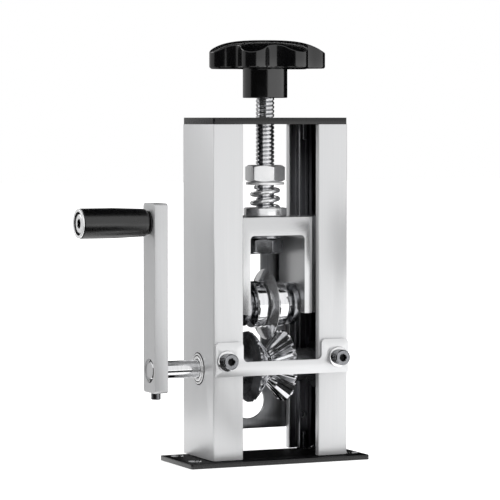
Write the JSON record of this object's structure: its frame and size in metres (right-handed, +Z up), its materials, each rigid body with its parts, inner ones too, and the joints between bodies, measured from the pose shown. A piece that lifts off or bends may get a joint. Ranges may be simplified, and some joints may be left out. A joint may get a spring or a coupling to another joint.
{
  "type": "cable stripper",
  "caption": "Hand-cranked bench cable stripper: a channel frame holds grooved knurled drive wheels and a round blade on a sprung slide, set by a star-knob screw.",
  "frame": {"origin": "on the underside of the base plate, straight below the press screw's axis", "axes": "+Z up along the press screw, +X along the drive shaft away from the crank, -Y the front where the cable goes in"},
  "size_m": [0.1604, 0.0643, 0.2297],
  "materials": {
    "black_anodised_plate": "satin black",
    "brushed_aluminium": "fine vertical brushing",
    "satin_aluminium": "satin",
    "socket_screw_steel": "dark zinc plate",
    "blackened_housing_steel": "blackened",
    "bush_steel": "turned",
    "back_plate_steel": "satin",
    "ground_shaft_steel": "ground and polished",
    "hardened_wheel_steel": "polished, with cut teeth",
    "ground_blade_steel": "ground",
    "polished_roller_steel": "mirror polish",
    "dark_steel": "turned, dark",
    "chromed_steel": "bright plate",
    "rolled_thread_steel": "rolled thread, bright",
    "plated_spring_steel": "bright plate",
    "black_knob_plastic": "moulded, glossy black",
    "black_grip_plastic": "moulded, satin black",
    "black_nylon": "plain"
  },
  "bodies": {
    "frame": {"base_plate": "black_anodised_plate", "top_plate": "black_anodised_plate", "left_upright": "brushed_aluminium", "right_upright": "brushed_aluminium", "base_plate_screw_1": "socket_screw_steel", "base_plate_screw_2": "socket_screw_steel", "base_plate_screw_3": "socket_screw_steel", "base_plate_screw_4": "socket_screw_steel", "top_plate_screw_1": "socket_screw_steel", "top_plate_screw_2": "socket_screw_steel", "top_plate_screw_3": "socket_screw_steel", "top_plate_screw_4": "socket_screw_steel", "left_bearing_housing": "blackened_housing_steel", "right_bearing_housing": "blackened_housing_steel", "left_shaft_bush": "bush_steel", "right_shaft_bush": "bush_steel", "left_housing_screw_1": "socket_screw_steel", "left_housing_screw_2": "socket_screw_steel", "left_housing_screw_3": "socket_screw_steel", "left_housing_screw_4": "socket_screw_steel", "right_housing_screw_1": "socket_screw_steel", "right_housing_screw_2": "socket_screw_steel", "right_housing_screw_3": "socket_screw_steel", "right_housing_screw_4": "socket_screw_steel", "front_guide_bar": "brushed_aluminium", "left_guide_screw": "socket_screw_steel", "right_guide_screw": "socket_screw_steel", "left_guide_washer": "socket_screw_steel", "right_guide_washer": "socket_screw_steel", "back_guide_plate": "back_plate_steel", "back_plate_screw_1": "socket_screw_steel", "back_plate_screw_2": "socket_screw_steel", "back_plate_screw_3": "socket_screw_steel", "back_plate_screw_4": "socket_screw_steel"},
    "crank": {"drive_shaft": "ground_shaft_steel", "left_drive_wheel": "hardened_wheel_steel", "right_drive_wheel": "hardened_wheel_steel", "left_wheel_screw": "socket_screw_steel", "right_wheel_screw": "socket_screw_steel", "crank_arm": "satin_aluminium", "arm_clamp_screw": "chromed_steel", "grip_washer": "black_nylon", "grip_bolt": "chromed_steel"},
    "grip_sleeve": {"grip": "black_grip_plastic", "grip_end_ring": "chromed_steel"},
    "press": {"spring_top_washer": "chromed_steel", "spring": "plated_spring_steel"},
    "screw": {"press_screw": "rolled_thread_steel", "upper_nut": "chromed_steel", "lower_nut": "dark_steel", "lower_washer": "chromed_steel", "knob": "black_knob_plastic"},
    "carriage": {"slider_block": "brushed_aluminium", "blade_axle": "ground_shaft_steel", "left_axle_spacer": "dark_steel", "right_axle_spacer": "dark_steel", "spring_collar": "chromed_steel"},
    "blade_disc": {"round_blade": "ground_blade_steel"},
    "roller_left": {"left_roller": "polished_roller_steel"},
    "roller_right": {"right_roller": "polished_roller_steel"}
  },
  "joints": [
    {"name": "crank_turn", "type": "hinge", "parent": "frame", "child": "crank", "pos_m": [0, 0, 0.0512], "axis": [1, 0, 0], "continuous": true},
    {"name": "grip_spin", "type": "hinge", "parent": "crank", "child": "grip_sleeve", "pos_m": [-0.09, 0, 0.1312], "axis": [1, 0, 0], "continuous": true},
    {"name": "screw_travel", "type": "slide", "parent": "frame", "child": "press", "axis": [0, 0, 1], "range_m": [-0.0014, 0.022]},
    {"name": "knob_turn", "type": "hinge", "parent": "press", "child": "screw", "pos_m": [0, 0, 0.2], "axis": [0, 0, 1], "range_deg": [-220, 3500]},
    {"name": "spring_float", "type": "slide", "parent": "press", "child": "carriage", "axis": [0, 0, 1], "range_m": [0, 0.0035], "stiffness_N_per_m": 5000, "springref_m": -0.002, "deforming": ["spring"]},
    {"name": "blade_spin", "type": "hinge", "parent": "carriage", "child": "blade_disc", "pos_m": [0, 0, 0.0853], "axis": [1, 0, 0], "continuous": true},
    {"name": "left_roller_spin", "type": "hinge", "parent": "carriage", "child": "roller_left", "pos_m": [-0.006, 0, 0.0853], "axis": [1, 0, 0], "continuous": true},
    {"name": "right_roller_spin", "type": "hinge", "parent": "carriage", "child": "roller_right", "pos_m": [0.006, 0, 0.0853], "axis": [1, 0, 0], "continuous": true}
  ],
  "couplings": [
    {"joint": "screw_travel", "follows": "knob_turn", "m_per_rad": 0.0003581}
  ]
}
